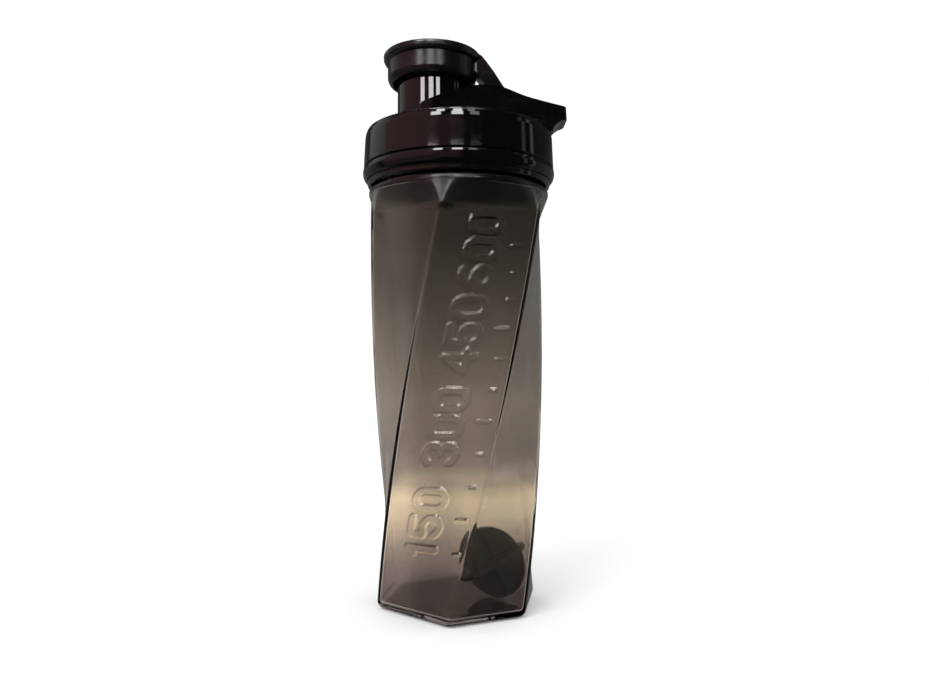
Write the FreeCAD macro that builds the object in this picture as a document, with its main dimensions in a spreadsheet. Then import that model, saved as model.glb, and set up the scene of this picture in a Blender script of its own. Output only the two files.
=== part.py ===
import FreeCAD, Part
import os
import math
import Sketcher

# Shaker bottle with a screw lid and a flip cap over the drinking spout.
# +Z is up along the bottle's axis, the origin is the middle of the base, -X is the spout's side,
# +X is the hinge's side.  Millimetres.

V = FreeCAD.Vector
doc = FreeCAD.newDocument("ShakerBottle")
sheet = doc.addObject("Spreadsheet::Sheet", "Sizes")

SIZES = [
    # six-sided twisted body: two wide sides face each other, four narrower ones stand between them
    ("sharp_base", 38.86), ("sharp_slope", -1.67), ("sharp_curve", 6.39), ("wide_side", 67.34), ("corner_round", 3.0), ("wall", 1.8),
    ("floor_thick", 2.2), ("base_round", 3.6), ("flat_top_z", 181.2), ("twist_ref_z", 180.0),
    ("twist_base", -5.89), ("twist_slope", 72.28), ("twist_curve", -8.73),
    ("shoulder_low_z", 190.6), ("shoulder_top_z", 193.0), ("shoulder_rad", 42.3),
    ("neck_foot_z", 197.0), ("neck_rad", 38.5), ("neck_bore", 36.3), ("neck_top_z", 216.5),
    # screw thread, two starts
    ("lead", 12.0), ("male_crest", 40.4), ("female_crest", 39.2), ("male_low_z", 202.4),
    ("male_turn", 200.0), ("female_turn", 180.0),
    # lid
    ("skirt_top_rad", 44.0), ("skirt_low_rad", 44.8), ("skirt_low_z", 204.0), ("skirt_top_z", 220.9),
    ("lid_bore", 41.2), ("sleeve_rad", 43.0), ("sleeve_low_z", 195.0), ("plate_under_z", 218.6),
    ("lip_out", 35.9), ("lip_in", 34.7), ("lip_low_z", 213.6), ("skirt_round", 0.6),
    # spout and deck
    ("spout_x", -12.8), ("spout_rad", 16.3), ("spout_bore", 13.0), ("spout_top_z", 252.0),
    ("collar_rad", 19.6), ("tail_x", 51.0), ("tail_half", 8.0), ("slot_wide", 11.8),
    # hinge
    ("hinge_x", 19.0), ("hinge_z", 235.6), ("pin_rad", 1.5), ("barrel_rad", 4.3), ("arm_wide", 11.0),
    # trim ring
    ("ring_out", 45.2), ("ring_in", 43.05), ("ring_low_z", 197.4), ("ring_top_z", 203.6),
    # gasket
    ("gasket_in", 36.5), ("gasket_out", 39.8), ("gasket_low_z", 216.8), ("gasket_thick", 1.5),
    # flip cap
    ("cap_flange", 23.0), ("cap_band", 21.0), ("cap_bore", 18.5), ("cap_low_z", 244.2),
    ("cap_top_z", 258.4), ("cap_ceiling_z", 254.2), ("boss_rad", 7.0),
    # spout seal
    ("plug_top_rad", 12.5), ("plug_tip_rad", 9.8), ("plug_tip_z", 249.0), ("seal_rim_rad", 16.4),
    # agitator
    ("disc_rad", 17.0), ("disc_thick", 3.0), ("disc_round", 1.2),
    ("agitator_x", 16.1), ("agitator_y", -2.8), ("agitator_z", 19.45),
]
for i, (name, value) in enumerate(SIZES):
    sheet.set("A%d" % (i + 1), name)
    sheet.set("B%d" % (i + 1), str(value))
    sheet.setAlias("B%d" % (i + 1), name)
doc.recompute()


def size(name):
    return float(sheet.get(name))


def origin_plane(body, role):
    for feature in body.Origin.OriginFeatures:
        if feature.Role == role:
            return feature
    raise RuntimeError(role)


def new_body(name):
    body = doc.addObject("PartDesign::Body", name)
    body.Label = name
    return body


def value_of(expr):
    """A size given as a number or as an expression of the sheet's names."""
    if isinstance(expr, (int, float)):
        return float(expr)
    names = dict((n, size(n)) for n, _ in SIZES)
    total, sign, word = 0.0, 1.0, ""
    for token in expr.replace("-", " - ").replace("+", " + ").split():
        if token == "+":
            sign = 1.0
        elif token == "-":
            sign = -1.0
        else:
            total += sign * (names[token] if token in names else float(token))
            sign = 1.0
    return total


def bound(expr):
    """The same size as a FreeCAD expression."""
    words = []
    for token in expr.replace("-", " - ").replace("+", " + ").split():
        words.append("Sizes." + token if token[0].isalpha() else token)
    return " ".join(words)


def polygon_sketch(body, name, role, points):
    """A closed sketch of straight lines; each corner's place is held by the sheet."""
    sketch = body.newObject("Sketcher::SketchObject", name)
    sketch.AttachmentSupport = [(origin_plane(body, role), "")]
    sketch.MapMode = "FlatFace"
    xy = [(value_of(a), value_of(b)) for a, b in points]
    n = len(xy)
    for i in range(n):
        a, b = xy[i], xy[(i + 1) % n]
        sketch.addGeometry(Part.LineSegment(V(a[0], a[1], 0), V(b[0], b[1], 0)), False)
    for i in range(n):
        sketch.addConstraint(Sketcher.Constraint("Coincident", i, 2, (i + 1) % n, 1))
    for i, (a, b) in enumerate(points):
        for kind, expr, val in (("DistanceX", a, xy[i][0]), ("DistanceY", b, xy[i][1])):
            if abs(val) < 1e-9:
                sketch.addConstraint(Sketcher.Constraint("PointOnObject", i, 1, -2 if kind == "DistanceX" else -1))
                continue
            k = sketch.addConstraint(Sketcher.Constraint(kind, -1, 1, i, 1, val))
            if not isinstance(expr, (int, float)):
                sketch.setExpression("Constraints[%d]" % k, bound(expr))
    return sketch


def circle_sketch(body, name, role, x, y, radius):
    sketch = body.newObject("Sketcher::SketchObject", name)
    sketch.AttachmentSupport = [(origin_plane(body, role), "")]
    sketch.MapMode = "FlatFace"
    sketch.addGeometry(Part.Circle(V(value_of(x), value_of(y), 0), V(0, 0, 1), value_of(radius)), False)
    k = sketch.addConstraint(Sketcher.Constraint("Radius", 0, value_of(radius)))
    sketch.setExpression("Constraints[%d]" % k, bound(radius))
    for kind, expr in (("DistanceX", x), ("DistanceY", y)):
        val = value_of(expr)
        if abs(val) < 1e-9:
            sketch.addConstraint(Sketcher.Constraint("PointOnObject", 0, 3, -2 if kind == "DistanceX" else -1))
        else:
            k = sketch.addConstraint(Sketcher.Constraint(kind, -1, 1, 0, 3, val))
            if not isinstance(expr, (int, float)):
                sketch.setExpression("Constraints[%d]" % k, bound(expr))
    return sketch


def revolve(body, name, points):
    sketch = polygon_sketch(body, name + "_profile", "XZ_Plane", points)
    rev = body.newObject("PartDesign::Revolution", name)
    rev.Profile = (sketch, [""])
    rev.ReferenceAxis = (sketch, ["V_Axis"])
    rev.Angle = 360.0
    doc.recompute()
    return rev


def cut_or_pad(body, kind, name, sketch, length=None, symmetric=False, through=False, offset=None, both=None,
               flip=False):
    feat = body.newObject("PartDesign::" + kind, name)
    feat.Profile = (sketch, [""])
    if offset is not None:
        sketch.AttachmentOffset = FreeCAD.Placement(V(0, 0, value_of(offset)), FreeCAD.Rotation())
        if not isinstance(offset, (int, float)):
            sketch.setExpression("AttachmentOffset.Base.z", bound(offset))
    if through:
        feat.Type = "ThroughAll"
        feat.SideType = "Symmetric" if symmetric else "One side"
    else:
        feat.Type = "Length"
        feat.SideType = "Two sides" if both is not None else ("Symmetric" if symmetric else "One side")
        feat.Length = value_of(length)
        if not isinstance(length, (int, float)):
            feat.setExpression("Length", bound(length))
        if both is not None:
            feat.Length2 = value_of(both)
    feat.Reversed = flip
    doc.recompute()
    return feat


def fillet_edges(body, name, radius, chosen):
    """Rounds the edges of the body's present shape that the function `chosen` picks."""
    base = body.Tip
    names = ["Edge%d" % (i + 1) for i, e in enumerate(base.Shape.Edges) if chosen(e)]
    feat = body.newObject("PartDesign::Fillet", name)
    feat.Base = (base, names)
    feat.Radius = value_of(radius)
    if not isinstance(radius, (int, float)):
        feat.setExpression("Radius", bound(radius))
    doc.recompute()
    return feat


def place_x(body, name):
    """Stands a part that is drawn about its own axis on the spout's axis."""
    body.Placement = FreeCAD.Placement(V(size(name), 0, 0), FreeCAD.Rotation())
    body.setExpression("Placement.Base.x", "Sizes." + name)


# ---------------------------------------------------------------- bottle body
def twist_at(z):
    """Direction of the first corner at height z, in degrees from -Y towards +X."""
    share = z / size("twist_ref_z")
    return size("twist_base") + size("twist_slope") * share + size("twist_curve") * share ** 2


def sharp_at(z):
    share = z / size("twist_ref_z")
    return size("sharp_base") + size("sharp_slope") * share + size("sharp_curve") * share ** 2


def corner_turns():
    """Directions of the six corners from the first one; the wide sides are the third and the last."""
    wide = size("wide_side")
    narrow = (360.0 - 2.0 * wide) / 4.0
    return [0.0, narrow, 2 * narrow, 2 * narrow + wide, 3 * narrow + wide, 4 * narrow + wide]


def six_sided(z, inset=0.0, shrink=0.0):
    """Rounded six-sided section: inset moves its sides in, shrink draws the whole section in."""
    turn = twist_at(z) - 90.0
    full = sharp_at(z)
    dirs = [math.radians(turn + t) for t in corner_turns()]
    raw = [V(full * math.cos(a), full * math.sin(a), 0) for a in dirs]
    lines = []
    for k in range(6):
        p, q = raw[k], raw[(k + 1) % 6]
        d = q - p
        d.normalize()
        out = V(d.y, -d.x, 0)
        lines.append((p - out * inset, d))
    rounding = max(size("corner_round") - inset, 0.9)
    scale = (full - shrink) / full
    pts = []
    for k in range(6):
        (p, d), (q, e) = lines[k - 1], lines[k]
        cross = d.x * e.y - d.y * e.x
        step = ((q.x - p.x) * e.y - (q.y - p.y) * e.x) / cross
        c = p + d * step
        half = math.acos(max(-1.0, min(1.0, d.dot(e)))) / 2.0
        back = rounding * math.tan(half)
        mid = c + (e - d).normalize() * (rounding * (1.0 / math.cos(half) - 1.0))
        pts.append([V(w.x * scale, w.y * scale, z) for w in (c - d * back, mid, c + e * back)])
    edges = []
    for k in range(6):
        p, q = pts[k], pts[(k + 1) % 6]
        edges.append(Part.Arc(p[0], p[1], p[2]).toShape())
        edges.append(Part.LineSegment(p[2], q[0]).toShape())
    return Part.Wire(edges)


def round_section(radius, z, half=6.0):
    """A circle cut into twelve arcs that stand over a six-sided section's corners and sides."""
    turn = twist_at(size("flat_top_z")) - 90.0
    turns = corner_turns() + [360.0]
    edges = []

    def at(deg):
        return V(radius * math.cos(math.radians(deg)), radius * math.sin(math.radians(deg)), z)
    for k in range(6):
        a, b = turn + turns[k], turn + turns[k + 1]
        edges.append(Part.Arc(at(a - half), at(a), at(a + half)).toShape())
        edges.append(Part.Arc(at(a + half), at((a + b) / 2.0), at(b - half)).toShape())
    return Part.Wire(edges)


def turned(points):
    wire = Part.makePolygon([V(r, 0, z) for r, z in points] + [V(points[0][0], 0, points[0][1])])
    return Part.Face(wire).revolve(V(0, 0, 0), V(0, 0, 1), 360)


def twisted_solid(low, inset, round_r, top_round, shoulder):
    """Stack of lofts: rounded foot, twisted sides, and the fall of the sides into the round shoulder."""
    foot = []
    for share in (0.0, 0.10, 0.38, 1.0):
        drop = round_r * share
        draw = round_r - math.sqrt(max(round_r ** 2 - (round_r - drop) ** 2, 0.0))
        foot.append(six_sided(low + drop, inset, draw))
    z0, z1 = low + round_r, size("flat_top_z")
    count = 9
    sides = [six_sided(z0 + (z1 - z0) * k / count, inset) for k in range(count + 1)]
    foot[-1] = sides[0]
    a = Part.makeLoft(foot, True, False)
    b = Part.makeLoft(sides, True, False)
    c = Part.makeLoft([sides[-1], round_section(top_round, shoulder)], True, True)
    return a, b, c


outer = twisted_solid(0.0, 0.0, size("base_round"), size("shoulder_rad"), size("shoulder_low_z"))
hollow = twisted_solid(size("floor_thick"), size("wall"), 2.6, size("shoulder_rad") - size("wall"),
                          size("shoulder_low_z"))
sr, st, sl = size("shoulder_rad"), size("shoulder_top_z"), size("shoulder_low_z")
top_out = turned([(0, sl), (sr, sl), (sr, st - 0.8), (sr - 0.25, st - 0.2), (sr - 0.9, st),
                  (size("neck_rad"), size("neck_foot_z")), (size("neck_rad"), size("neck_top_z") - 0.5),
                  (size("neck_rad") - 0.5, size("neck_top_z")), (0, size("neck_top_z"))])
top_in = turned([(0, sl), (sr - 1.8, sl), (sr - 1.8, st - 2.2), (size("neck_bore"), st + 2.8),
                 (size("neck_bore"), size("neck_top_z") - 0.4), (size("neck_bore") + 0.4, size("neck_top_z")),
                 (size("neck_bore") + 0.4, size("neck_top_z") + 1.0), (0, size("neck_top_z") + 1.0)])
body_shape = outer[0].fuse([outer[1], outer[2], top_out])
hollow_shape = hollow[0].fuse([hollow[1], hollow[2], top_in])
shell = body_shape.cut(hollow_shape)


def ridge(root, crest, z_low, degrees, start, half_root, half_crest):
    """One start of the screw thread: a trapezoid ridge along a right-hand helix."""
    rise = size("lead") * degrees / 360.0
    spine = Part.makeHelix(size("lead"), rise, (root + crest) / 2.0)
    corners = [V(root, 0, -half_root), V(crest, 0, -half_crest), V(crest, 0, half_crest), V(root, 0, half_root)]
    section = Part.makePolygon(corners + [corners[0]])
    pipe = Part.Wire(spine.Edges).makePipeShell([section], True, True)
    pipe = Part.Solid(pipe) if pipe.ShapeType != "Solid" else pipe
    pipe.rotate(V(0, 0, 0), V(0, 0, 1), start)
    pipe.translate(V(0, 0, z_low))
    return pipe


male = [ridge(size("neck_rad") - 0.4, size("male_crest"), size("male_low_z"), size("male_turn"), s, 1.7, 0.8)
        for s in (20.0, 200.0)]
shell = shell.fuse(male)
if shell.ShapeType != "Solid" and len(shell.Solids) == 1:
    shell = shell.Solids[0]
bottle = doc.addObject("Part::Feature", "bottle_body")
bottle.Label = "bottle_body"
bottle.Shape = shell
bottle.Placement = FreeCAD.Placement()

# ---------------------------------------------------------------- screw lid
lid = new_body("lid_casting")
revolve(lid, "lid_shell", [
    (0, "plate_under_z"), ("lip_in", "plate_under_z"), ("lip_in", "lip_low_z"), ("lip_out - 0.4", "lip_low_z"),
    ("lip_out", "lip_low_z + 0.8"), ("lip_out", "plate_under_z"), ("lid_bore", "plate_under_z"),
    ("lid_bore", "sleeve_low_z + 0.4"), ("lid_bore + 0.4", "sleeve_low_z"), ("sleeve_rad - 0.5", "sleeve_low_z"),
    ("sleeve_rad - 0.1", "sleeve_low_z + 0.4"), ("sleeve_rad - 0.1", "sleeve_low_z + 1.5"),
    ("sleeve_rad + 0.25", "sleeve_low_z + 1.8"), ("sleeve_rad + 0.25", "sleeve_low_z + 2.1"),
    ("sleeve_rad", "sleeve_low_z + 2.35"), ("sleeve_rad", "skirt_low_z - 0.1"),
    ("skirt_low_rad - 0.3", "skirt_low_z - 0.1"), ("skirt_low_rad", "skirt_low_z + 0.25"),
    ("skirt_top_rad + 0.17", "skirt_top_z - 3.6"), ("skirt_top_rad - 0.1", "skirt_top_z - 2.1"),
    ("skirt_top_rad - 0.5", "skirt_top_z - 1.0"), ("skirt_top_rad - 0.75", "skirt_top_z - 0.62"), ("skirt_top_rad - 0.75", "skirt_top_z"),
    (0, "skirt_top_z")])
fillet_edges(lid, "skirt_edge", "skirt_round",
             lambda e: len(e.Vertexes) == 1 and abs(e.BoundBox.ZMin - size("skirt_top_z")) < 0.01
             and e.BoundBox.XLength > 80)

# deck: the drop-shaped plinth round the spout that carries the hinge and runs out as a tail
cx, cr, tx, th = size("spout_x"), size("collar_rad"), size("tail_x"), size("tail_half")
run = math.hypot(tx - cx, th)
lean = math.asin((cr - th) / (tx - cx)) if cr > th else 0.0
px, py = cx + cr * math.sin(lean), cr * math.cos(lean)
deck = lid.newObject("Sketcher::SketchObject", "deck_plan")
deck.AttachmentSupport = [(origin_plane(lid, "XY_Plane"), "")]
deck.MapMode = "FlatFace"
deck.AttachmentOffset = FreeCAD.Placement(V(0, 0, 220.4), FreeCAD.Rotation())
deck.setExpression("AttachmentOffset.Base.z", "Sizes.skirt_top_z - 0.5")
arc = Part.Arc(V(px, py, 0), V(cx - cr, 0, 0), V(px, -py, 0))
deck.addGeometry(arc, False)
deck.addGeometry(Part.LineSegment(V(px, -py, 0), V(tx, -th, 0)), False)
deck.addGeometry(Part.LineSegment(V(tx, -th, 0), V(tx, th, 0)), False)
deck.addGeometry(Part.LineSegment(V(tx, th, 0), V(px, py, 0)), False)
deck.addConstraint(Sketcher.Constraint("Tangent", 0, 2, 1, 1))
deck.addConstraint(Sketcher.Constraint("Coincident", 1, 2, 2, 1))
deck.addConstraint(Sketcher.Constraint("Coincident", 2, 2, 3, 1))
deck.addConstraint(Sketcher.Constraint("Tangent", 3, 2, 0, 1))
deck.addConstraint(Sketcher.Constraint("PointOnObject", 0, 3, -1))
deck.addConstraint(Sketcher.Constraint("Symmetric", 2, 1, 2, 2, -1))
k = deck.addConstraint(Sketcher.Constraint("Radius", 0, cr))
deck.setExpression("Constraints[%d]" % k, "Sizes.collar_rad")
k = deck.addConstraint(Sketcher.Constraint("DistanceX", -1, 1, 0, 3, cx))
deck.setExpression("Constraints[%d]" % k, "Sizes.spout_x")
k = deck.addConstraint(Sketcher.Constraint("DistanceX", -1, 1, 2, 2, tx))
deck.setExpression("Constraints[%d]" % k, "Sizes.tail_x")
k = deck.addConstraint(Sketcher.Constraint("DistanceY", 2, 1, 2, 2, 2 * th))
deck.setExpression("Constraints[%d]" % k, "2 * Sizes.tail_half")
doc.recompute()
block = cut_or_pad(lid, "Pad", "deck_block", deck, 24.0)
block.TaperAngle = -3.0
doc.recompute()
fillet_edges(lid, "tail_corners", 2.2,
             lambda e: abs(e.BoundBox.XMax - tx) < 0.01 and e.BoundBox.ZLength > 10)

# the wave over the deck: low at the spout's front, highest over the hinge, falling to the tail
WAVE = [(-36.0, 222.4), (-31.8, 224.0), (-25.0, 228.2), (-16.5, 231.1), (-9.5, 234.0), (-2.4, 237.1), (5.0, 239.3),
        (13.0, 240.4), (18.0, 240.2), (22.7, 239.1), (28.0, 237.2), (37.0, 234.9), (49.7, 232.5), (54.0, 231.8)]
wave = lid.newObject("Sketcher::SketchObject", "wave_profile")
wave.AttachmentSupport = [(origin_plane(lid, "XZ_Plane"), "")]
wave.MapMode = "FlatFace"
curve = Part.BSplineCurve()
curve.interpolate([V(a, b, 0) for a, b in WAVE])
wave.addGeometry(curve, False)
wave.addGeometry(Part.LineSegment(V(54.0, 231.8, 0), V(54.0, 262.0, 0)), False)
wave.addGeometry(Part.LineSegment(V(54.0, 262.0, 0), V(-36.0, 262.0, 0)), False)
wave.addGeometry(Part.LineSegment(V(-36.0, 262.0, 0), V(-36.0, 222.4, 0)), False)
for c in (("Coincident", 0, 2, 1, 1), ("Coincident", 1, 2, 2, 1), ("Coincident", 2, 2, 3, 1), ("Coincident", 3, 2, 0, 1)):
    wave.addConstraint(Sketcher.Constraint(*c))
wave.addConstraint(Sketcher.Constraint("Block", 0))
doc.recompute()
cut_or_pad(lid, "Pocket", "wave_cut", wave, 80.0, symmetric=True)

# the tail's underside rises away from the skirt
under = polygon_sketch(lid, "tail_under", "XZ_Plane", [
    (44.05, 218.0), (44.05, 221.9), (44.9, 223.1), (46.3, 224.5), (48.0, 225.6), ("tail_x", 226.5),
    ("tail_x + 4.0", 226.6), ("tail_x + 4.0", 218.0)])
doc.recompute()
cut_or_pad(lid, "Pocket", "tail_under_cut", under, 40.0, symmetric=True)

# spout
tube = circle_sketch(lid, "spout_ring", "XY_Plane", "spout_x", 0, "spout_rad")
doc.recompute()
tube.AttachmentOffset = FreeCAD.Placement(V(0, 0, 219.0), FreeCAD.Rotation())
cut_or_pad(lid, "Pad", "spout_tube", tube, "spout_top_z - skirt_top_z + 0.5", offset="skirt_top_z - 0.5")
bore = circle_sketch(lid, "spout_bore_ring", "XY_Plane", "spout_x", 0, "spout_bore")
doc.recompute()
before = lid.Shape.Volume
cut_or_pad(lid, "Pocket", "spout_hole", bore, 60.0, symmetric=True, offset="spout_top_z - 10.0")
if not lid.Shape.Volume < before - 1000:
    raise RuntimeError("the spout's bore cuts nothing")


def on_spout(e, radius):
    b = e.BoundBox
    return (abs(b.ZMin - size("spout_top_z")) < 0.01 and abs(b.ZMax - size("spout_top_z")) < 0.01
            and abs(b.XLength - 2 * radius) < 0.05)


fillet_edges(lid, "spout_lip_out", 1.0, lambda e: on_spout(e, size("spout_rad")))
cham = lid.newObject("PartDesign::Chamfer", "spout_lip_in")
cham.Base = (lid.Tip if lid.Tip is not cham else cham.BaseFeature,
             ["Edge%d" % (i + 1) for i, e in enumerate(lid.Shape.Edges) if on_spout(e, size("spout_bore"))])
cham.Size = 0.8
doc.recompute()

# slot for the flip cap's arm, closed at the bottom and open along the top of the tail
slot = polygon_sketch(lid, "slot_side", "XZ_Plane", [
    (4.4, 246.0), (4.4, 236.0), (7.5, 231.2), (14.0, 229.6), (24.5, 229.6), (40.0, 229.4), (44.0, 231.0),
    (46.0, 246.0)])
doc.recompute()
before = lid.Shape.Volume
cut_or_pad(lid, "Pocket", "arm_slot", slot, "slot_wide", symmetric=True)
if not lid.Shape.Volume < before - 300:
    raise RuntimeError("the slot cuts nothing")
# bore for the hinge pin: blind on the front wall, open at the back wall
pin_hole = circle_sketch(lid, "pin_ring", "XZ_Plane", "hinge_x", "hinge_z", "pin_rad + 0.02")
doc.recompute()
before = lid.Shape.Volume
cut_or_pad(lid, "Pocket", "pin_hole", pin_hole, 40.0, both=10.8)
if not lid.Shape.Volume < before - 20:
    raise RuntimeError("the pin's bore cuts nothing")

# female thread, half a pitch below the male one
female = []
for n, start in enumerate((80.0, 260.0)):
    item = doc.addObject("Part::Feature", "lid_thread_%d" % (n + 1))
    z_low = size("male_low_z") - size("lead") / 4.0 + size("lead") * 60.0 / 360.0
    item.Shape = ridge(size("lid_bore") + 0.4, size("female_crest"), z_low, size("female_turn"), start, 1.55, 0.8)
    female.append(item)
screw = doc.addObject("Part::MultiFuse", "screw_lid")
screw.Label = "screw_lid"
screw.Shapes = [lid] + female
doc.recompute()

# ---------------------------------------------------------------- trim ring
ring = new_body("lid_trim_ring")
revolve(ring, "ring_section", [
    ("ring_in", "ring_top_z"), ("ring_in", "ring_low_z + 0.35"), ("ring_in + 0.3", "ring_low_z + 0.05"),
    ("ring_in + 0.6", "ring_low_z"), ("ring_out - 1.2", "ring_low_z + 0.35"), ("ring_out - 0.7", "ring_low_z + 0.95"),
    ("ring_out - 0.3", "ring_low_z + 1.8"), ("ring_out - 0.07", "ring_low_z + 2.8"), ("ring_out", "ring_low_z + 3.8"),
    ("ring_out - 0.1", "ring_low_z + 4.8"), ("ring_out - 0.35", "ring_top_z - 0.6"), ("ring_out - 0.8", "ring_top_z")])

# ---------------------------------------------------------------- gasket
gasket = new_body("lid_gasket")
revolve(gasket, "gasket_section", [
    ("gasket_in", "gasket_low_z + 0.3"), ("gasket_in + 0.3", "gasket_low_z"), ("gasket_out - 0.3", "gasket_low_z"),
    ("gasket_out", "gasket_low_z + 0.3"), ("gasket_out", "gasket_low_z + gasket_thick - 0.3"),
    ("gasket_out - 0.3", "gasket_low_z + gasket_thick"), ("gasket_in + 0.3", "gasket_low_z + gasket_thick"),
    ("gasket_in", "gasket_low_z + gasket_thick - 0.3")])

# ---------------------------------------------------------------- flip cap, drawn about the spout's axis
cap = new_body("flip_cap")
revolve(cap, "cap_shell", [
    (0, "cap_top_z"), ("cap_flange - 1.5", "cap_top_z"), ("cap_flange - 0.5", "cap_top_z - 0.3"),
    ("cap_flange - 0.1", "cap_top_z - 0.8"), ("cap_flange", "cap_top_z - 1.5"),
    ("cap_flange - 0.1", "cap_top_z - 2.6"), ("cap_flange - 0.5", "cap_top_z - 3.5"), ("cap_flange - 1.2", "cap_top_z - 4.0"),
    ("cap_band", "cap_top_z - 4.3"),
    ("cap_band", "cap_low_z + 3.0"), ("cap_band - 0.2", "cap_low_z + 2.1"), ("cap_band - 0.65", "cap_low_z + 1.1"),
    ("cap_band - 1.2", "cap_low_z + 0.35"), ("cap_band - 1.8", "cap_low_z"), ("cap_bore + 0.4", "cap_low_z"),
    ("cap_bore", "cap_low_z + 0.4"), ("cap_bore", "cap_ceiling_z - 1.0"), ("cap_bore - 1.0", "cap_ceiling_z"),
    ("boss_rad", "cap_ceiling_z"), ("boss_rad", "cap_ceiling_z - 2.4"), (0, "cap_ceiling_z - 2.4")])
arm = polygon_sketch(cap, "arm_side", "XZ_Plane", [
    ("0 - spout_x + 6.2", "cap_top_z"), ("0 - spout_x + 8.3", "cap_top_z"), ("0 - spout_x + 10.6", "cap_top_z - 1.3"),
    ("0 - spout_x + 12.4", "cap_top_z - 3.4"), ("0 - spout_x + 16.3", "cap_top_z - 8.6"),
    ("0 - spout_x + 19.7", "hinge_z + 8.9"), ("0 - spout_x + 22.9", "hinge_z + 4.2"),
    ("0 - spout_x + 22.9", "hinge_z + 0.6"), ("0 - spout_x + 15.4", "hinge_z - 1.8"),
    ("0 - spout_x + 14.9", "hinge_z + 3.0"), ("0 - spout_x + 12.6", "hinge_z + 7.4"),
    ("0 - spout_x + 8.9", "hinge_z + 12.6"), ("0 - spout_x + 6.2", "hinge_z + 16.0")])
doc.recompute()
cut_or_pad(cap, "Pad", "cap_arm", arm, "arm_wide", symmetric=True)
barrel = circle_sketch(cap, "barrel_ring", "XZ_Plane", "hinge_x - spout_x", "hinge_z", "barrel_rad")
doc.recompute()
cut_or_pad(cap, "Pad", "cap_barrel", barrel, "arm_wide", symmetric=True)
hole = circle_sketch(cap, "barrel_hole_ring", "XZ_Plane", "hinge_x - spout_x", "hinge_z", "pin_rad + 0.06")
doc.recompute()
before = cap.Shape.Volume
cut_or_pad(cap, "Pocket", "barrel_hole", hole, 40.0, symmetric=True)
if not cap.Shape.Volume < before - 30:
    raise RuntimeError("the barrel's hole cuts nothing")
place_x(cap, "spout_x")

# ---------------------------------------------------------------- soft plug under the cap
seal = new_body("spout_seal")
revolve(seal, "seal_section", [
    ("boss_rad", "cap_ceiling_z"), ("seal_rim_rad", "cap_ceiling_z"), ("seal_rim_rad", "cap_ceiling_z - 1.2"),
    ("seal_rim_rad - 0.4", "cap_ceiling_z - 1.6"), ("plug_top_rad", "cap_ceiling_z - 1.6"),
    ("plug_top_rad - 0.2", "cap_ceiling_z - 2.5"), ("plug_top_rad - 1.0", "plug_tip_z + 1.4"),
    ("plug_tip_rad + 0.6", "plug_tip_z + 0.2"), ("plug_tip_rad", "plug_tip_z"), (0, "plug_tip_z"),
    (0, "cap_ceiling_z - 2.4"), ("boss_rad", "cap_ceiling_z - 2.4")])
place_x(seal, "spout_x")

# ---------------------------------------------------------------- hinge pin
pin = doc.addObject("Part::Cylinder", "hinge_pin")
pin.Label = "hinge_pin"
pin.Height = 23.2
pin.setExpression("Radius", "Sizes.pin_rad")
pin.Placement = FreeCAD.Placement(V(size("hinge_x"), 12.6, size("hinge_z")), FreeCAD.Rotation(V(1, 0, 0), 90))
pin.setExpression("Placement.Base.x", "Sizes.hinge_x")
pin.setExpression("Placement.Base.z", "Sizes.hinge_z")

# ---------------------------------------------------------------- agitator: three round discs crossed at right angles
discs = []
for n, rot in enumerate((FreeCAD.Rotation(), FreeCAD.Rotation(V(1, 0, 0), 90), FreeCAD.Rotation(V(0, 1, 0), 90))):
    disc = doc.addObject("Part::Cylinder", "disc_%d" % (n + 1))
    # a hair's difference between the discs keeps their rims from touching edge on edge
    disc.setExpression("Radius", "Sizes.disc_rad - %.2f" % (0.08 * n))
    disc.setExpression("Height", "Sizes.disc_thick")
    half = size("disc_thick") / 2.0
    disc.Placement = FreeCAD.Placement(rot.multVec(V(0, 0, -half)), rot)
    doc.recompute()
    soft = doc.addObject("Part::Fillet", "disc_rim_%d" % (n + 1))
    soft.Base = disc
    soft.Edges = [(i + 1, size("disc_round"), size("disc_round")) for i, e in enumerate(disc.Shape.Edges)
                  if len(e.Vertexes) == 1]
    discs.append(soft)
doc.recompute()
agitator = doc.addObject("Part::MultiFuse", "agitator")
agitator.Label = "agitator"
agitator.Shapes = discs
# the lying attitude: rolled over into the corner of the floor, each disc leaning on a wall or on the floor
lie = FreeCAD.Rotation(V(-0.7072, 0.5374, -0.4594), V(0.4707, -0.1271, -0.8731), V(-0.5276, -0.8337, -0.1631), "XYZ")
agitator.Placement = FreeCAD.Placement(V(size("agitator_x"), size("agitator_y"), size("agitator_z")), lie)
agitator.setExpression("Placement.Base.x", "Sizes.agitator_x")
agitator.setExpression("Placement.Base.y", "Sizes.agitator_y")
agitator.setExpression("Placement.Base.z", "Sizes.agitator_z")
doc.recompute()

# ---------------------------------------------------------------- write the sub-parts
for obj in doc.Objects:
    for bad in ("Invalid", "Error"):
        if bad in obj.State:
            raise RuntimeError("%s is %s: %s" % (obj.Name, bad, obj.getStatusString()))
SUBPARTS = [bottle, screw, ring, gasket, cap, seal, pin, agitator]
os.makedirs("parts", exist_ok=True)
for part in SUBPARTS:
    shape = part.Shape
    if shape.isNull() or not shape.isValid():
        raise RuntimeError("%s has no valid shape" % part.Label)
    if len(shape.Solids) != 1:
        raise RuntimeError("%s has %d solids" % (part.Label, len(shape.Solids)))
    shape.exportStep("parts/%s.step" % part.Label)
    b = shape.BoundBox
    print("%-14s solids %d faces %3d volume %9.1f  box %.1f %.1f %.1f .. %.1f %.1f %.1f" % (
        part.Label, len(shape.Solids), len(shape.Faces), shape.Volume, b.XMin, b.YMin, b.ZMin, b.XMax, b.YMax, b.ZMax))
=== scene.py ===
import math

import bpy
import numpy as np
from mathutils import Matrix, Vector


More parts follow.
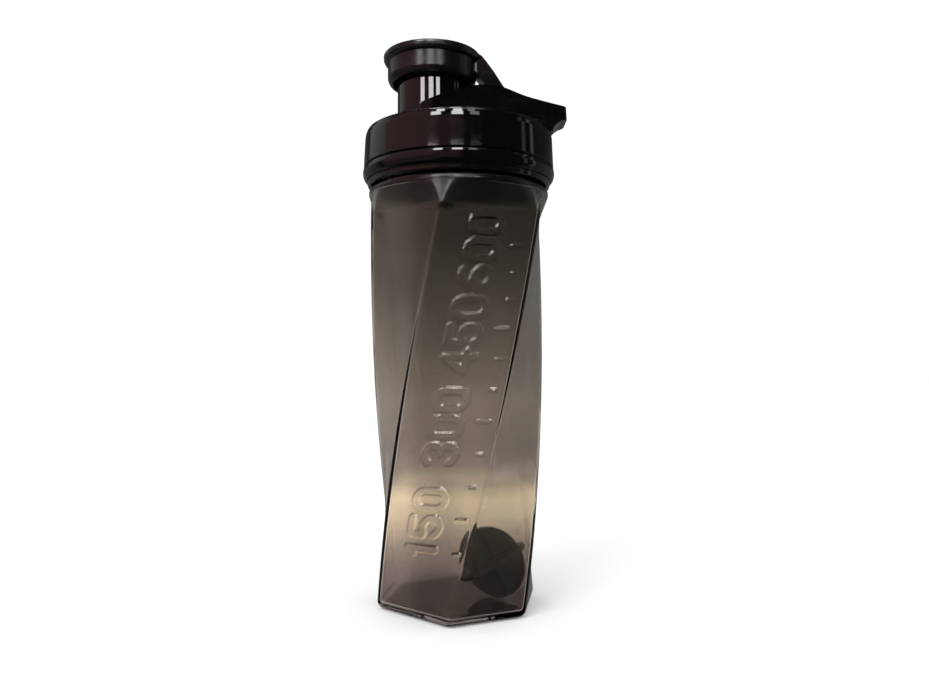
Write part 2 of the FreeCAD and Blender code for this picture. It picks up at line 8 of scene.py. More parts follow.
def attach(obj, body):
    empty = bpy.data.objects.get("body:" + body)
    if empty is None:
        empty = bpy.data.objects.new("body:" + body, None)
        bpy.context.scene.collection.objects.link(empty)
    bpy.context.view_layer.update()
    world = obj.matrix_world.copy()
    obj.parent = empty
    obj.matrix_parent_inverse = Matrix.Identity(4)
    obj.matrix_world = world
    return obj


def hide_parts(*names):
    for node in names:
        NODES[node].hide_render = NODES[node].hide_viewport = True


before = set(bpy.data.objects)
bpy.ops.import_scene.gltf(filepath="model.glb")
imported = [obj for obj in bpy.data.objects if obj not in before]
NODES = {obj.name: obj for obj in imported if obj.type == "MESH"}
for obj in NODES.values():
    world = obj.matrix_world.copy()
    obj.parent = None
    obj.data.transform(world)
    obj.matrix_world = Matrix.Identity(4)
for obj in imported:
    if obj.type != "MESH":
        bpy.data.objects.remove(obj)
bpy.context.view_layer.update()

scene = bpy.context.scene
MM = 0.001


# =====================================================================================================================
# small helpers
# =====================================================================================================================
def new_mesh(name, verts, faces, smooth=True):
    me = bpy.data.meshes.new(name)
    me.from_pydata([tuple(v) for v in verts], [], faces)
    me.validate()
    me.update()
    if smooth:
        me.polygons.foreach_set("use_smooth", [True] * len(me.polygons))
    ob = bpy.data.objects.new(name, me)
    scene.collection.objects.link(ob)
    return ob


def smoothstep(a, b, x):
    t = np.clip((x - a) / (b - a), 0.0, 1.0)
    return t * t * (3.0 - 2.0 * t)


# =====================================================================================================================
# materials
# =====================================================================================================================
class Nodes:
    def __init__(self, name):
        self.mat = bpy.data.materials.new(name)
        self.mat.use_nodes = True
        self.nt = self.mat.node_tree
        self.nt.nodes.clear()
        self.out = self.add("ShaderNodeOutputMaterial")
        self.p = self.add("ShaderNodeBsdfPrincipled")
        self.link(self.p.outputs["BSDF"], self.out.inputs["Surface"])
        self.tc = self.add("ShaderNodeTexCoord")

    def add(self, kind, **props):
        n = self.nt.nodes.new(kind)
        for k, v in props.items():
            setattr(n, k, v)
        return n

    def link(self, a, b):
        self.nt.links.new(a, b)

    def set(self, **values):
        for k, v in values.items():
            self.p.inputs[k.replace("_", " ")].default_value = v

    def noise(self, scale, detail=4.0, rough=0.55, distortion=0.0, vector=None):
        n = self.add("ShaderNodeTexNoise")
        n.inputs["Scale"].default_value = scale
        n.inputs["Detail"].default_value = detail
        n.inputs["Roughness"].default_value = rough
        n.inputs["Distortion"].default_value = distortion
        self.link(vector if vector is not None else self.tc.outputs["Object"], n.inputs["Vector"])
        return n.outputs["Fac"]

    def mapped(self, scale=(1, 1, 1), rot=(0, 0, 0)):
        m = self.add("ShaderNodeMapping")
        m.inputs["Scale"].default_value = scale
        m.inputs["Rotation"].default_value = rot
        self.link(self.tc.outputs["Object"], m.inputs["Vector"])
        return m.outputs["Vector"]

    def ramp(self, fac, stops, interpolation="LINEAR"):
        r = self.add("ShaderNodeValToRGB")
        r.color_ramp.interpolation = interpolation
        els = r.color_ramp.elements
        while len(els) < len(stops):
            els.new(0.5)
        for e, (pos, col) in zip(els, stops):
            e.position = pos
            e.color = col if len(col) == 4 else (*col, 1.0)
        self.link(fac, r.inputs["Fac"])
        return r.outputs["Color"]

    def range(self, fac, lo, hi, from_lo=0.0, from_hi=1.0):
        m = self.add("ShaderNodeMapRange")
        m.inputs["From Min"].default_value = from_lo
        m.inputs["From Max"].default_value = from_hi
        m.inputs["To Min"].default_value = lo
        m.inputs["To Max"].default_value = hi
        self.link(fac, m.inputs["Value"])
        return m.outputs["Result"]

    def math(self, op, a, b=None):
        m = self.add("ShaderNodeMath", operation=op)
        for i, v in enumerate((a, b)):
            if v is None:
                continue
            if isinstance(v, (int, float)):
                m.inputs[i].default_value = v
            else:
                self.link(v, m.inputs[i])
        return m.outputs[0]

    def mix(self, fac, a, b):
        m = self.add("ShaderNodeMix", data_type="RGBA")
        for i, v in ((0, fac), (6, a), (7, b)):
            if isinstance(v, (int, float)):
                m.inputs[i].default_value = v
            elif isinstance(v, tuple):
                m.inputs[i].default_value = v if len(v) == 4 else (*v, 1.0)
            else:
                self.link(v, m.inputs[i])
        return m.outputs[2]

    def bump(self, height, strength=0.1, distance=0.0002):
        b = self.add("ShaderNodeBump")
        b.inputs["Strength"].default_value = strength
        b.inputs["Distance"].default_value = distance
        self.link(height, b.inputs["Height"])
        self.link(b.outputs["Normal"], self.p.inputs["Normal"])
        return b

    def z(self):
        s = self.add("ShaderNodeSeparateXYZ")
        self.link(self.tc.outputs["Object"], s.inputs[0])
        return s.outputs["Z"]


def black_plastic(name, base=0.012, rough_lo=0.05, rough_hi=0.16, warm=1.0, coat=0.0, bump=0.05, arm_from=None):
    n = Nodes(name)
    big = n.noise(28.0, 3.0, 0.5)
    fine = n.noise(900.0, 3.0, 0.6)
    col = n.ramp(big, [(0.3, (base * warm, base, base)), (0.7, (base * 1.5 * warm, base * 1.4, base * 1.42))])
    n.link(col, n.p.inputs["Base Color"])
    smear = n.noise(1.0, 4.0, 0.6, 0.6, n.mapped((70, 70, 190)))
    rough = n.range(smear, rough_lo, rough_hi, 0.35, 0.75)
    n.link(rough, n.p.inputs["Roughness"])
    n.set(IOR=1.5)
    n.p.inputs["Coat Weight"].default_value = coat
    b = n.bump(fine, bump, 0.00005)
    if arm_from is not None:
        sep = n.add("ShaderNodeSeparateXYZ")
        n.link(n.tc.outputs["Object"], sep.inputs[0])
        geo = n.add("ShaderNodeNewGeometry")
        face = n.add("ShaderNodeSeparateXYZ")
        n.link(geo.outputs["True Normal"], face.inputs[0])
        flat = n.math("GREATER_THAN", n.math("MULTIPLY", face.outputs["Y"], -1.0), 0.985)
        mask = n.math("MULTIPLY", n.math("GREATER_THAN", sep.outputs["X"], arm_from), flat)
        lean = n.add("ShaderNodeCombineXYZ")
        n.link(n.math("MULTIPLY", mask, 0.045), lean.inputs["Z"])
        tilt = n.add("ShaderNodeVectorMath", operation="ADD")
        n.link(geo.outputs["Normal"], tilt.inputs[0])
        n.link(lean.outputs[0], tilt.inputs[1])
        unit = n.add("ShaderNodeVectorMath", operation="NORMALIZE")
        n.link(tilt.outputs["Vector"], unit.inputs[0])
        n.link(unit.outputs["Vector"], b.inputs["Normal"])
        smooth = n.math("SUBTRACT", rough, n.math("MULTIPLY", mask, 0.20))
        n.link(n.math("MAXIMUM", smooth, 0.05), n.p.inputs["Roughness"])
    return n.mat


def clear_smoke():
    """Smoke-tinted clear plastic with painted light and shade in its colour: a painted light band about 20 to 60 mm up,
    warmer than the rest, painted shade darkening it from there towards the shoulder, and the left side painted lighter
    while the right side is painted darker towards the top; with faint flow lines and handling haze.
    """
    n = Nodes("clear_smoke_plastic")
    z = n.z()
    up = n.range(z, 0.0, 1.0, 0.0, 0.217)
    # painted light and shade with height: the colour is painted lighter and warmer in a band about 20 to 60 mm up and
    # painted darker from there up to the shoulder
    body = n.ramp(up, [(0.0, (0.37, 0.32, 0.30)), (0.09, (0.37, 0.325, 0.30)), (0.15, (0.56, 0.49, 0.41)), (0.20, (0.70, 0.62, 0.50)),
                       (0.245, (0.71, 0.63, 0.505)), (0.275, (0.43, 0.385, 0.34)), (0.34, (0.37, 0.33, 0.295)), (0.44, (0.40, 0.357, 0.315)),
                       (0.62, (0.29, 0.26, 0.23)), (0.80, (0.21, 0.19, 0.168)), (0.90, (0.235, 0.215, 0.19))])
    sep = n.add("ShaderNodeSeparateXYZ")
    n.link(n.tc.outputs["Object"], sep.inputs[0])
    # painted light and shade by side: left of x = -27 mm the colour is painted 1.24 times lighter; right of x = -15 mm
    # it is painted darker towards the top
    across = n.add("ShaderNodeMapRange", interpolation_type="SMOOTHSTEP")
    across.inputs["From Min"].default_value = -0.027
    across.inputs["From Max"].default_value = -0.015
    n.link(sep.outputs["X"], across.inputs["Value"])
    near = n.ramp(up, [(0.45, (0.95, 0.95, 0.95)), (0.65, (0.86, 0.86, 0.86)), (0.82, (0.66, 0.66, 0.66))])
    painted_side_light_and_shade = n.mix(across.outputs["Result"], (1.24, 1.24, 1.25), near)
    toned = n.add("ShaderNodeVectorMath", operation="MULTIPLY")
    n.link(body, toned.inputs[0])
    n.link(painted_side_light_and_shade, toned.inputs[1])
    body = toned.outputs["Vector"]
    drift = n.noise(1.0, 3.0, 0.5, 0.8, n.mapped((26, 26, 9)))
    shade = n.range(drift, 0.86, 1.12, 0.3, 0.7)
    m = n.add("ShaderNodeVectorMath", operation="SCALE")
    n.link(body, m.inputs[0])
    n.link(shade, m.inputs["Scale"])
    n.link(m.outputs["Vector"], n.p.inputs["Base Color"])
    haze = n.noise(1.0, 5.0, 0.6, 0.5, n.mapped((60, 60, 25)))
    shoulder = n.math("MULTIPLY", n.math("GREATER_THAN", z, 0.1805), n.math("LESS_THAN", z, 0.1935))
    n.link(n.math("ADD", n.range(haze, 0.015, 0.075, 0.35, 0.8), n.math("MULTIPLY", shoulder, 0.20)), n.p.inputs["Roughness"])
    n.set(IOR=1.5)
    n.p.inputs["Transmission Weight"].default_value = 1.0
    flow = n.noise(1.0, 2.0, 0.5, 0.2, n.mapped((45, 45, 14)))
    n.bump(flow, 0.10, 0.0006)
    return n.mat


def rubber(name, col, rough=0.5):
    n = Nodes(name)
    big = n.noise(60.0, 4.0, 0.6)
    n.link(n.ramp(big, [(0.3, tuple(c * 0.8 for c in col)), (0.7, tuple(min(1, c * 1.2) for c in col))]),
           n.p.inputs["Base Color"])
    n.link(n.range(n.noise(300.0, 3.0), rough - 0.08, rough + 0.12), n.p.inputs["Roughness"])
    n.bump(n.noise(1800.0, 2.0), 0.15, 0.00008)
    return n.mat


def steel():
    n = Nodes("pin_steel")
    turn = n.noise(1.0, 2.0, 0.5, 0.0, n.mapped((200, 4000, 200)))
    n.link(n.ramp(turn, [(0.3, (0.50, 0.50, 0.50)), (0.7, (0.66, 0.66, 0.67))]), n.p.inputs["Base Color"])
    n.p.inputs["Metallic"].default_value = 1.0
    n.link(n.range(turn, 0.22, 0.38), n.p.inputs["Roughness"])
    n.bump(turn, 0.1, 0.00003)
    return n.mat


def dark_moulded(name, base):
    """Dark moulded plastic of the mixing piece: fine sparked texture and random tone."""
    n = Nodes(name)
    big = n.noise(120.0, 4.0, 0.6)
    n.link(n.ramp(big, [(0.3, tuple(c * 0.75 for c in base)), (0.72, tuple(c * 1.35 for c in base))]),
           n.p.inputs["Base Color"])
    n.link(n.range(n.noise(260.0, 4.0), 0.34, 0.55), n.p.inputs["Roughness"])
    n.set(IOR=1.48)
    n.bump(n.noise(2200.0, 3.0), 0.25, 0.00008)
    return n.mat


MAT_CLEAR = clear_smoke()
MAT_LID = black_plastic("lid_gloss_black", 0.0014, 0.03, 0.09, 1.2)
MAT_RING = black_plastic("ring_gloss_black", 0.0014, 0.04, 0.10, 1.1)
MAT_CAP = black_plastic("cap_satin_black", 0.0022, 0.20, 0.30, 1.0, arm_from=0.0085)
MAT_GASKET = rubber("gasket_silicone", (0.34, 0.34, 0.35))
MAT_PLUG = rubber("plug_elastomer", (0.035, 0.035, 0.035))
MAT_PIN = steel()
MAT_AGITATOR = dark_moulded("agitator_plastic", (0.0022, 0.0022, 0.0030))


def give(node, mat):
    me = NODES[node].data
    me.materials.clear()
    me.materials.append(mat)


give("screw_lid", MAT_LID)
give("lid_trim_ring", MAT_RING)
give("flip_cap", MAT_CAP)
give("lid_gasket", MAT_GASKET)
give("spout_seal", MAT_PLUG)
give("hinge_pin", MAT_PIN)
give("agitator", MAT_AGITATOR)

# =====================================================================================================================
# bottle body: twisted six-sided shell with round shoulder, threaded neck and a raised volume scale
# =====================================================================================================================
ROUND, WIDE = 3.0, 67.34
REF_Z = 180.0
WALL, FLOOR, FOOT_R = 1.8, 2.2, 3.6
FLAT_TOP, SH_LOW, SH_TOP, SH_R = 181.2, 190.6, 193.0, 42.3
NECK_FOOT, NECK_R, NECK_BORE, NECK_TOP = 197.0, 38.5, 36.3, 216.5
NARROW = (360.0 - 2 * WIDE) / 4
TURNS = [0.0, NARROW, 2 * NARROW, 2 * NARROW + WIDE, 3 * NARROW + WIDE, 4 * NARROW + WIDE]
FRONT = 5                                # the wide side in front: from the last corner to the first


def twist(z):
    u = z / REF_Z
    return -5.89 + 72.28 * u - 8.73 * u * u


def sharp_r(z):
    u = z / REF_Z
    return 38.86 - 1.67 * u + 6.39 * u * u


def ring_params(n_arc, side_counts):
    """How a section is sampled: (corner index, kind, share) for each point; kind 0 is the corner's arc, 1 the side after it."""
    out = []
    for k in range(6):
        for i in range(n_arc):
            out.append((k, 0, i / (n_arc - 1)))
        for i in range(1, side_counts[k]):
            out.append((k, 1, i / side_counts[k]))
    return out


def hex_ring(z, params, inset=0.0, shrink=0.0):
    full = sharp_r(z)
    dirs = [math.radians(twist(z) - 90.0 + t) for t in TURNS]
    raw = [np.array([full * math.cos(a), full * math.sin(a)]) for a in dirs]
    lines = []
    for k in range(6):
        d = raw[(k + 1) % 6] - raw[k]
        d = d / np.hypot(*d)
        lines.append((raw[k] - np.array([d[1], -d[0]]) * inset, d))
    rounding = max(ROUND - inset, 0.9)
    arcs = []
    for k in range(6):
        (p, d), (q, e) = lines[k - 1], lines[k]
        cross = d[0] * e[1] - d[1] * e[0]
        c = p + d * (((q[0] - p[0]) * e[1] - (q[1] - p[1]) * e[0]) / cross)
        half = math.acos(max(-1.0, min(1.0, float(d @ e)))) / 2
        inward = (e - d) / np.hypot(*(e - d))
        mid = c + inward * (rounding / math.cos(half))
        a0 = math.atan2(-d[0], d[1])
        arcs.append((mid, math.atan2(-d[0], d[1]), 2 * half))
    sc = (full - shrink) / full
    ends = []
    for mid, a0, sweep in arcs:
        ends.append((mid + rounding * np.array([math.cos(a0), math.sin(a0)]),
                     mid + rounding * np.array([math.cos(a0 + sweep), math.sin(a0 + sweep)])))
    pts = []
    for k, kind, share in params:
        mid, a0, sweep = arcs[k]
        if kind == 0:
            b = a0 + sweep * share
            pts.append(mid + rounding * np.array([math.cos(b), math.sin(b)]))
        else:
            p, q = ends[k][1], ends[(k + 1) % 6][0]
            pts.append(p + (q - p) * share)
    return np.array(pts) * sc


def round_ring(radius, params, half=6.0):
    turn = twist(FLAT_TOP) - 90.0
    ts = TURNS + [360.0]
    pts = []
    for k, kind, share in params:
        if kind == 0:
            d = turn + ts[k] - half + 2 * half * share
        else:
            d = turn + ts[k] + half + (ts[k + 1] - ts[k] - 2 * half) * share
        pts.append((radius * math.cos(math.radians(d)), radius * math.sin(math.radians(d))))
    return np.array(pts)


# ------------------------------------------------------------------ raised scale: numerals as thick strokes
def arc_pts(cx, cy, rx, ry, a0, a1, n=12):
    return [(cx + rx * math.cos(math.radians(a0 + (a1 - a0) * i / n)), cy + ry * math.sin(math.radians(a0 + (a1 - a0) * i / n)))
            for i in range(n + 1)]


def digit_strokes(d, w, h):
    r = w / 2
    if d == "0":
        return [arc_pts(r, h - r, r, r, 0, 180) + arc_pts(r, r, r, r, 180, 360) + [(w, h - r)]]
    if d == "1":
        return [[(0.12 * w, 0.76 * h), (0.62 * w, h), (0.62 * w, 0)]]
    if d == "2":
        return [arc_pts(r, h - r, r, r, 170, -35) + [(0, 0), (w, 0)]]
    if d == "3":
        q = h / 4
        return [arc_pts(r, h - q, r, q, 155, -90) + arc_pts(r, q, r, q, 90, -155)]
    if d == "4":
        return [[(0.78 * w, 0), (0.78 * w, h), (0, 0.30 * h), (1.08 * w, 0.30 * h)]]
    if d == "6":
        q = 0.29 * h
        return [[(0.86 * w, 0.97 * h), (0.60 * w, h), (0.34 * w, 0.90 * h), (0.10 * w, 0.64 * h), (0.0, 0.42 * h), (0.0, q)],
                arc_pts(r, q, r, q, 0, 360)]
    if d == "5":
        q = 0.30 * h
        return [[(0.95 * w, h), (0.08 * w, h), (0.02 * w, 0.56 * h)] + arc_pts(r, q, r, q, 125, -150)]
    raise ValueError(d)


def volume_heights():
    """Heights at which the inside holds 100, 200 ... ml."""
    out, v, z, dz = {}, 0.0, FLOOR, 0.05
    mark = 50
    while z < FLAT_TOP:
        sh = sharp_r(z) - 2.07
        v += 2.588 * sh * sh * dz * 0.001
        z += dz
        if v >= mark:
            out[mark] = z
            mark += 50
    return out


HEIGHTS = volume_heights()
SEGS = []            # (x0, y0, x1, y1, half width) in the face's plane: x across from the face's middle, y up
STROKE, DW, DH, PITCH = 1.65, 7.8, 13.6, 11.8


def write_up(text, y0, x_mid=-1.0):
    """Characters that read up the face: their tops point to the left."""
    y = y0
    for ch in text:
        w = {"1": 4.8}.get(ch, DW)
        for line in digit_strokes(ch, w, DH):
            pts = [(-(gy - DH / 2) + x_mid, y + gx) for gx, gy in line]
            for p, q in zip(pts[:-1], pts[1:]):
                SEGS.append((*p, *q, STROKE))
        y += w + PITCH - DW
    return y


for ml, zc in HEIGHTS.items():
    if ml % 150 == 0 and ml <= 600:
        text = str(ml)
        length = sum({"1": 4.8}.get(ch, DW) for ch in text) + (len(text) - 1) * (PITCH - DW)
        write_up(text, zc - 2.5 - length / 2)
        SEGS.append((13.0, zc, 17.6, zc, 0.7))
    elif ml % 50 == 0 and ml < 640:
        SEGS.append((15.2, zc, 17.6, zc, 0.55))


def relief(s, z):
    """Height of the raised scale, 0 to 1, at points of the scale's face."""
    d = np.full(s.shape, 1e3)
    for x0, y0, x1, y1, hw in SEGS:
        near = (z > min(y0, y1) - hw - 1) & (z < max(y0, y1) + hw + 1)
        if not near.any():
            continue
        px, py = s[near] - x0, z[near] - y0
        vx, vy = x1 - x0, y1 - y0
        t = np.clip((px * vx + py * vy) / max(vx * vx + vy * vy, 1e-9), 0, 1)
        d[near] = np.minimum(d[near], np.hypot(px - t * vx, py - t * vy) - hw)
    return 1.0 - smoothstep(-0.32, 0.32, d)


def thread_bump(theta, z):
    """Height of the two-start right-hand thread on the neck."""
    add = np.zeros_like(theta)
    for start in (20.0, 200.0):
        rel = (np.degrees(theta) - start) % 360.0
        zc = 202.4 + 12.0 * rel / 360.0
        live = 1.0 - smoothstep(196.0, 200.0, rel)
        live *= smoothstep(0.0, 3.0, rel)
        off = np.abs(z - zc)
        prof = 1.0 - np.clip((off - 0.8) / 0.9, 0, 1)
        add = np.maximum(add, prof * live * 1.9)
    return add


def build_bottle():
    fine_side = FRONT
    sides = [10] * 6
    sides[fine_side] = 104
    outer_p = ring_params(7, sides)
    rings = []                          # list of (n, 3) arrays

    def put(xy, z):
        rings.append(np.column_stack([xy, np.full(len(xy), z)]))

    # outside, from the foot's rounding up
    for k in range(9):
        a = math.radians(90 * k / 8)
        put(hex_ring(FOOT_R * (1 - math.cos(a)), outer_p, 0, FOOT_R * (1 - math.sin(a))), FOOT_R * (1 - math.cos(a)))
    z_list = list(np.arange(FOOT_R + 0.9, 22.0, 1.2)) + list(np.arange(22.0, 176.0, 0.43)) + [177.0, 178.5, 180.0]
    zz = np.array(z_list)
    on_side = np.array([k == fine_side and kind == 1 for k, kind, _ in outer_p])
    share = np.array([s for _, _, s in outer_p])
    for z in zz:
        xy = hex_ring(z, outer_p)
        if 20 < z < 177:
            side_len = 2 * sharp_r(z) * math.sin(math.radians(WIDE / 2)) - 2 * ROUND * math.tan(math.radians(30.85))
            s = (share - 0.5) * side_len
            r = relief(s, np.full_like(s, z)) * on_side
            a = math.radians(twist(z) - 90.0 - WIDE / 2)
            xy = xy + np.outer(r * 0.85, [math.cos(a), math.sin(a)])
        put(xy, z)
    put(hex_ring(FLAT_TOP, outer_p), FLAT_TOP)
    low, high = hex_ring(FLAT_TOP, outer_p), round_ring(SH_R, outer_p)
    for t in (0.04, 0.15, 0.3, 0.45, 0.6, 0.75, 0.88, 0.96):
        put(low + (high - low) * t, FLAT_TOP + (SH_LOW - FLAT_TOP) * t)
    for r, z in ((SH_R, SH_LOW), (SH_R, 191.4), (SH_R, SH_TOP - 0.8), (SH_R - 0.08, SH_TOP - 0.5), (SH_R - 0.25, SH_TOP - 0.2),
                 (SH_R - 0.55, SH_TOP - 0.05), (SH_R - 0.9, SH_TOP), (SH_R - 1.6, SH_TOP + 0.85),
                 (NECK_R + 0.35, NECK_FOOT - 0.4), (NECK_R, NECK_FOOT), (NECK_R, NECK_FOOT + 0.6)):
        put(round_ring(r, outer_p), z)
    for z in np.arange(198.2, 214.2, 0.4):
        xy = round_ring(NECK_R, outer_p)
        th = np.arctan2(xy[:, 1], xy[:, 0])
        k = 1.0 + thread_bump(th, np.full_like(th, z)) / NECK_R
        put(xy * k[:, None], z)
    for r, z in ((NECK_R, 214.6), (NECK_R, 216.0), (NECK_R - 0.15, 216.35), (NECK_R - 0.5, NECK_TOP)):
        put(round_ring(r, outer_p), z)
    n_out = len(rings)
    verts = np.vstack(rings)
    m = len(outer_p)
    faces = []
    for i in range(n_out - 1):
        a, b = i * m, (i + 1) * m
        for j in range(m):
            j2 = (j + 1) % m
            faces.append((a + j, a + j2, b + j2, b + j))
    # inside, coarser round the section
    in_p = ring_params(6, [9] * 6)
    mi = len(in_p)
    inner = []

    def put_in(xy, z):
        inner.append(np.column_stack([xy, np.full(len(xy), z)]))
    for r, z in ((NECK_BORE + 0.4, NECK_TOP), (NECK_BORE, NECK_TOP - 0.4), (NECK_BORE, 206.0), (NECK_BORE, 196.4),
                 (NECK_BORE, SH_TOP + 2.8), (NECK_BORE + 0.4, SH_TOP + 2.2), (SH_R - 2.2, SH_TOP - 1.7),
                 (SH_R - WALL, SH_TOP - 2.2), (SH_R - WALL, SH_LOW)):
        put_in(round_ring(r, in_p), z)
    hi, lo = round_ring(SH_R - WALL, in_p), hex_ring(FLAT_TOP, in_p, WALL)
    for t in (0.04, 0.15, 0.3, 0.45, 0.6, 0.75, 0.88, 0.96):
        put_in(hi + (lo - hi) * t, SH_LOW + (FLAT_TOP - SH_LOW) * t)
    for z in [FLAT_TOP] + list(np.arange(179.0, 6.0, -1.8)):
        put_in(hex_ring(z, in_p, WALL), z)
    fr = 2.6
    for k in range(6):
        a = math.radians(90 * (1 - k / 5))
        z = FLOOR + fr * (1 - math.cos(a))
        put_in(hex_ring(z, in_p, WALL, fr * (1 - math.sin(a))), z)
    base = len(verts)
    verts = np.vstack([verts] + inner)
    for i in range(len(inner) - 1):
        a, b = base + i * mi, base + (i + 1) * mi
        for j in range(mi):
            j2 = (j + 1) % mi
            faces.append((a + j, a + j2, b + j2, b + j))
    # the rim joins both: outer ring's points and inner ring's points are walked side by side
    oa = [(k + (0.0 if kind == 0 else 0.2) + (share_ * 0.2 if kind == 0 else share_ * 0.8)) for k, kind, share_ in outer_p]
    ia = [(k + (0.0 if kind == 0 else 0.2) + (share_ * 0.2 if kind == 0 else share_ * 0.8)) for k, kind, share_ in in_p]
    o0, i0 = (n_out - 1) * m, base
    i = j = 0
    while i < m or j < mi:
        ti = oa[i + 1] if i + 1 < m else 6.0
        tj = ia[j + 1] if j + 1 < mi else 6.0
        if j >= mi or (i < m and ti <= tj):
            faces.append((o0 + i % m, o0 + (i + 1) % m, i0 + j % mi))
            i += 1
        else:
            faces.append((o0 + i % m, i0 + (j + 1) % mi, i0 + j % mi))
            j += 1
    # floor, inside and out: fans of rings drawn in to the middle
    last = base + (len(inner) - 1) * mi
    prev = list(range(last, last + mi))
    vs = [verts]
    count = len(verts)
    for sc in (0.66, 0.33):
        r = verts[last:last + mi].copy()
        r[:, :2] *= sc
        vs.append(r)
        cur = list(range(count, count + mi))
        count += mi
        for j in range(mi):
            j2 = (j + 1) % mi
            faces.append((prev[j], prev[j2], cur[j2], cur[j]))
        prev = cur
    vs.append(np.array([[0, 0, FLOOR]]))
    for j in range(mi):
        faces.append((prev[j], prev[(j + 1) % mi], count))
    count += 1
    prev = list(range(0, m))
    for sc in (0.66, 0.33):
        r = verts[0:m].copy()
        r[:, :2] *= sc
        vs.append(r)
        cur = list(range(count, count + m))
        count += m
        for j in range(m):
            j2 = (j + 1) % m
            faces.append((prev[j2], prev[j], cur[j], cur[j2]))
        prev = cur
    vs.append(np.array([[0, 0, 0.0]]))
    for j in range(m):
        faces.append((prev[(j + 1) % m], prev[j], count))
    verts = np.vstack(vs) * MM
    ob = new_mesh("bottle_shell", verts, faces)
    ob.data.materials.append(MAT_CLEAR)
    return ob


bottle = build_bottle()
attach(bottle, "bottle")
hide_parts("bottle_body")

# =====================================================================================================================
# camera
# =====================================================================================================================
cam_data = bpy.data.cameras.new("camera")
cam = bpy.data.objects.new("camera", cam_data)
scene.collection.objects.link(cam)
cam_data.sensor_fit = "HORIZONTAL"
cam_data.sensor_width = 36.0
cam_data.lens = 778.84 * 36.0 / 929.0
cam_data.clip_start, cam_data.clip_end = 0.01, 100.0
cam.matrix_world = (Matrix.Translation((0.0030, -0.36996, 0.1151)) @ Matrix.Rotation(math.radians(90.66), 4, "X")
                    @ Matrix.Rotation(math.radians(0.15), 4, "Z"))
scene.camera = cam

# =====================================================================================================================
# stage: pale floor, pale surroundings, soft light
# =====================================================================================================================
floor = new_mesh("floor", [(-6, -6, -0.0004), (6, -6, -0.0004), (6, 6, -0.0004), (-6, 6, -0.0004)], [(0, 1, 2, 3)])
n = Nodes("floor_pale")
grain = n.noise(3.0, 4.0)
n.link(n.ramp(grain, [(0.3, (0.965, 0.965, 0.965)), (0.7, (0.98, 0.98, 0.98))]), n.p.inputs["Base Color"])
n.p.inputs["Roughness"].default_value = 0.9
n.p.inputs["Specular IOR Level"].default_value = 0.1
floor.data.materials.append(n.mat)
floor.visible_glossy = False


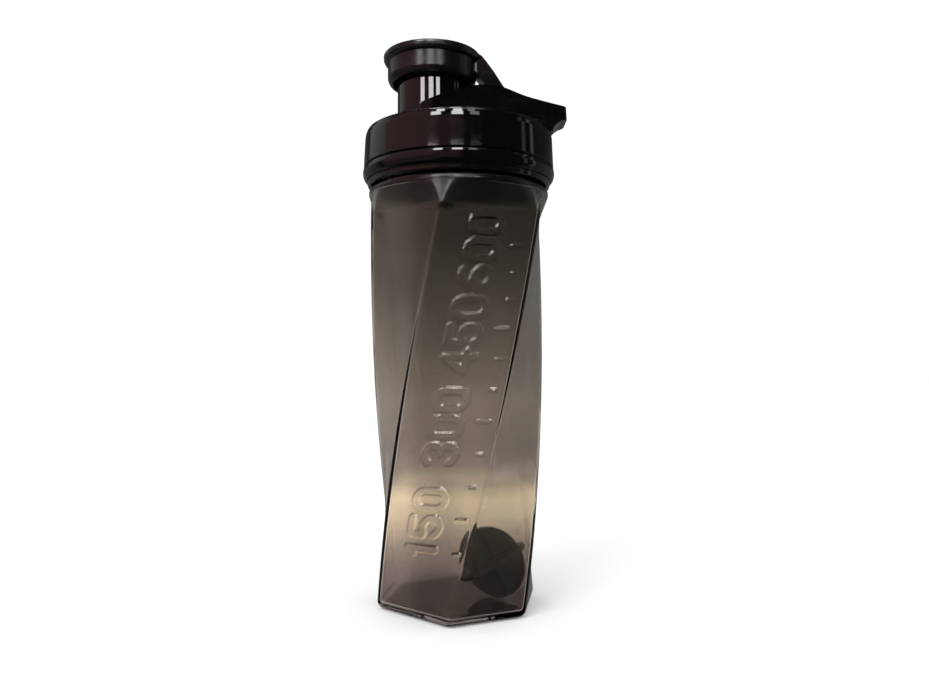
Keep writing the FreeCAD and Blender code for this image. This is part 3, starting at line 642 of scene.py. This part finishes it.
def make_world():
    w = bpy.data.worlds.new("studio")
    scene.world = w
    w.use_nodes = True
    nt = w.node_tree
    nt.nodes.clear()
    L = nt.links.new
    out = nt.nodes.new("ShaderNodeOutputWorld")
    bg = nt.nodes.new("ShaderNodeBackground")
    L(bg.outputs[0], out.inputs["Surface"])
    tc = nt.nodes.new("ShaderNodeTexCoord")
    sep = nt.nodes.new("ShaderNodeSeparateXYZ")
    L(tc.outputs["Generated"], sep.inputs[0])

    def val(v, sock):
        if isinstance(v, (int, float)):
            sock.default_value = v
        else:
            L(v, sock)

    def m(op, a, b=None, c=None):
        x = nt.nodes.new("ShaderNodeMath")
        x.operation = op
        for i, v in enumerate((a, b, c)):
            if v is not None:
                val(v, x.inputs[i])
        return x.outputs[0]
    x, y, z = sep.outputs
    az = m("DEGREES", m("ARCTAN2", x, m("MULTIPLY", y, -1.0)))       # 0 towards the viewer, + to the right
    el = m("DEGREES", m("ARCSINE", z))

    def band(v, lo, hi, soft):
        """1 between lo and hi with soft shoulders."""
        def rise(edge, s):
            r = nt.nodes.new("ShaderNodeMapRange")
            r.interpolation_type = "SMOOTHSTEP"
            r.inputs["From Min"].default_value = edge - s
            r.inputs["From Max"].default_value = edge + s
            L(v, r.inputs["Value"])
            return r.outputs["Result"]
        return m("MULTIPLY", rise(lo, soft), m("SUBTRACT", 1.0, rise(hi, soft)))

    def patch(a0, a1, e0, e1, soft_a=2.0, soft_e=1.5):
        return m("MULTIPLY", band(az, a0, a1, soft_a), band(el, e0, e1, soft_e))

    def rgb(c, k=1.0):
        v = nt.nodes.new("ShaderNodeCombineXYZ")
        v.inputs[0].default_value, v.inputs[1].default_value, v.inputs[2].default_value = (c[0] * k, c[1] * k, c[2] * k)
        return v.outputs[0]

    def scaled(fac, c):
        s = nt.nodes.new("ShaderNodeVectorMath")
        s.operation = "SCALE"
        L(rgb(c), s.inputs[0])
        L(fac, s.inputs["Scale"])
        return s.outputs[0]

    def plus(a, b):
        s = nt.nodes.new("ShaderNodeVectorMath")
        s.operation = "ADD"
        L(a, s.inputs[0])
        L(b, s.inputs[1])
        return s.outputs[0]

    # what polished surfaces mirror: a dim room with three tall windows in front and bright surroundings to the sides
    room = rgb((0.006, 0.006, 0.006))
    room = plus(room, scaled(patch(-400, 400, 74, 95, 4, 4), (1.4, 1.4, 1.35)))
    room = plus(room, scaled(patch(-97, -27, 4, 60, 6, 8), (0.46, 0.25, 0.24)))
    room = plus(room, scaled(patch(-97, -27, -40, 4, 6, 8), (0.17, 0.13, 0.125)))
    room = plus(room, scaled(patch(-26, 2, -30, 34, 8, 3), (0.24, 0.14, 0.13)))
    room = plus(room, scaled(patch(82, 87, -20, 40, 2, 6), (0.4, 0.4, 0.4)))
    room = plus(room, scaled(patch(96, 101, -20, 40, 2, 6), (0.6, 0.6, 0.6)))
    room = plus(room, scaled(patch(-400, -108, -60, 14, 8, 4), (0.16, 0.155, 0.15)))
    room = plus(room, scaled(patch(104, 400, -60, 14, 8, 4), (0.14, 0.14, 0.135)))
    room = plus(room, scaled(patch(-400, -108, 14, 90, 8, 4), (0.05, 0.05, 0.045)))
    room = plus(room, scaled(patch(-135, -98, 14, 40, 4, 6), (0.45, 0.45, 0.44)))
    room = plus(room, scaled(patch(104, 400, 14, 90, 8, 4), (0.035, 0.037, 0.033)))
    for a0, a1 in ((-36, -23), (-9, 6), (15, 27)):
        room = plus(room, scaled(patch(a0, a1, 16.0, 20.2, 0.8, 0.35), (14, 14, 14)))
        high = 14.0 if a0 < 10 else 3.0
        room = plus(room, scaled(patch(a0, a1, 29.0, 60, 0.8, 0.7), (high, high, high)))
    lp = nt.nodes.new("ShaderNodeLightPath")
    mix = nt.nodes.new("ShaderNodeMix")
    mix.data_type = "RGBA"
    L(m("MULTIPLY", lp.outputs["Is Glossy Ray"], m("SUBTRACT", 1.0, lp.outputs["Is Transmission Ray"])), mix.inputs[0])
    mix.inputs[6].default_value = (1.06, 1.06, 1.06, 1)
    L(room, mix.inputs[7])
    L(mix.outputs[2], bg.inputs["Color"])
    bg.inputs["Strength"].default_value = 1.0


make_world()


def softbox(name, at, aim, size, power):
    d = bpy.data.lights.new(name, "AREA")
    d.shape = "RECTANGLE"
    d.size, d.size_y = size
    d.energy = power
    o = bpy.data.objects.new(name, d)
    scene.collection.objects.link(o)
    o.location = at
    o.rotation_euler = (Vector(aim) - Vector(at)).to_track_quat("-Z", "Y").to_euler()
    o.visible_camera = False
    o.visible_glossy = False
    o.visible_transmission = False
    return o


softbox("key", (-1.2, -1.5, 1.9), (0, 0, 0.12), (1.4, 1.4), 22.0)

scene.view_settings.view_transform = "Standard"
scene.view_settings.look = "None"
scene.view_settings.exposure = 0.0
scene.view_settings.gamma = 1.0
